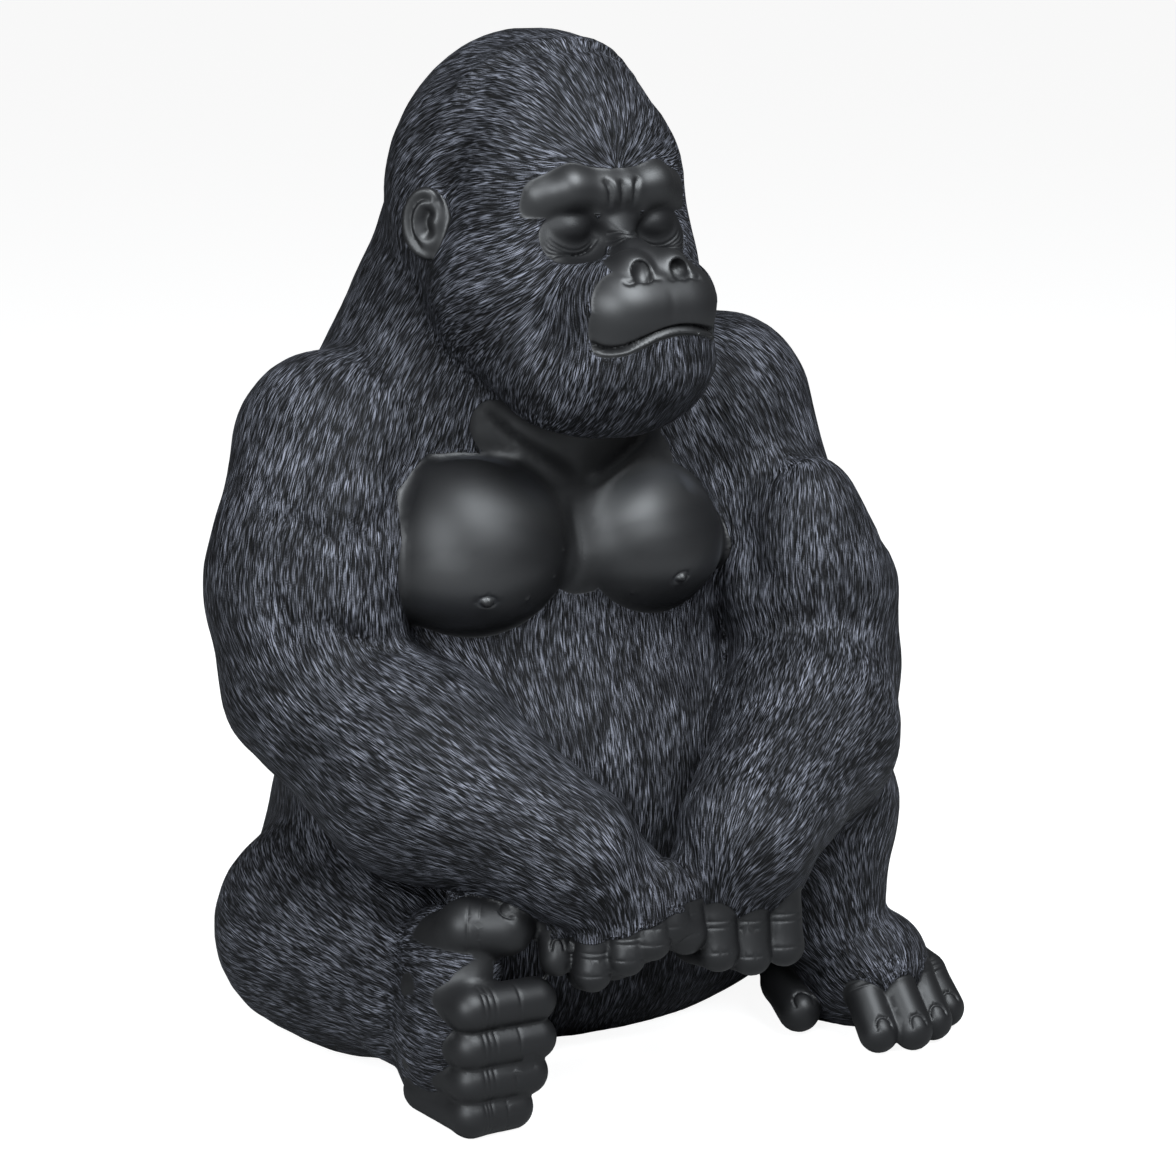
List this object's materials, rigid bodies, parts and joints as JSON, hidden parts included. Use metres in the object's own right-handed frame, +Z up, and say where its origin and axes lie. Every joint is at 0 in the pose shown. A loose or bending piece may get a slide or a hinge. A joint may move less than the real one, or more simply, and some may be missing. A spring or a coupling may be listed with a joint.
{
  "type": "gorilla figurine",
  "caption": "Seated gorilla ornament cast in one piece, hands folded before its belly, one foot on edge and one flat, with a flat underside to stand on.",
  "frame": {"origin": "centre of the bounding box's bottom face, on the ground the figure sits on", "axes": "+Z up along the figure, -Y is its front, +X is its left side"},
  "size_m": [0.3334, 0.3062, 0.4593],
  "materials": {
    "resin": "satin black paint over cast resin, with a faint blue-grey on the carved hair"
  },
  "bodies": {
    "root": {"gorilla": "resin"}
  },
  "joints": []
}
